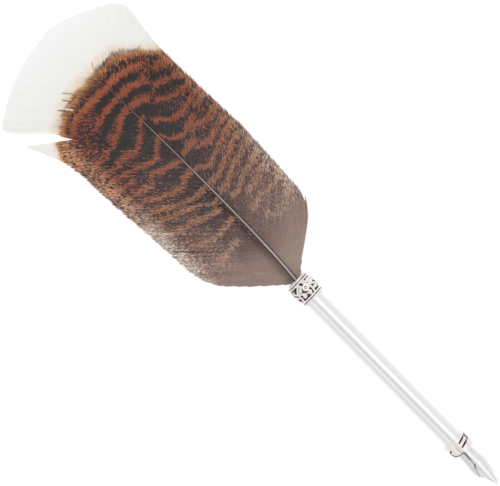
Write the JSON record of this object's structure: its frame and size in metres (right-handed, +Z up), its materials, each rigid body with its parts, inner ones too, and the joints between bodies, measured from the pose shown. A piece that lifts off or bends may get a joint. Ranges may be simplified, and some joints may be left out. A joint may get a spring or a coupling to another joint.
{
  "type": "quill pen",
  "caption": "Dip pen with a polished tube barrel, a broad banded tail feather, cast scroll collars and a pointed steel nib that pulls out of its socket.",
  "frame": {"origin": "centre of the pen's outline on the surface it lies on", "axes": "+X along the barrel towards the nib, +Z up out of the feather's barred face, +Y towards the vane with no split"},
  "size_m": [0.3191, 0.0886, 0.0138],
  "materials": {
    "quill": "satin horn",
    "vane": "banded rust and charcoal barbs with a white tip",
    "inner_metal": "turned",
    "cast_silver": "cast, darkened in the recesses",
    "polished_metal": "mirror polished",
    "spring_brass": "satin",
    "nib_steel": "polished steel"
  },
  "bodies": {
    "pen": {"feather_shaft": "quill", "left_vane": "vane", "left_tip_vane": "vane", "right_vane": "vane", "feather_bush": "inner_metal", "upper_collar": "cast_silver", "end_ring": "polished_metal", "barrel_tube": "polished_metal", "lower_collar": "cast_silver", "nib_bush": "inner_metal", "nib_clip": "spring_brass"},
    "nib": {"nib": "nib_steel"}
  },
  "joints": [
    {"name": "nib_pull", "type": "slide", "parent": "pen", "child": "nib", "axis": [1, 0, 0], "range_m": [0, 0.022]}
  ]
}
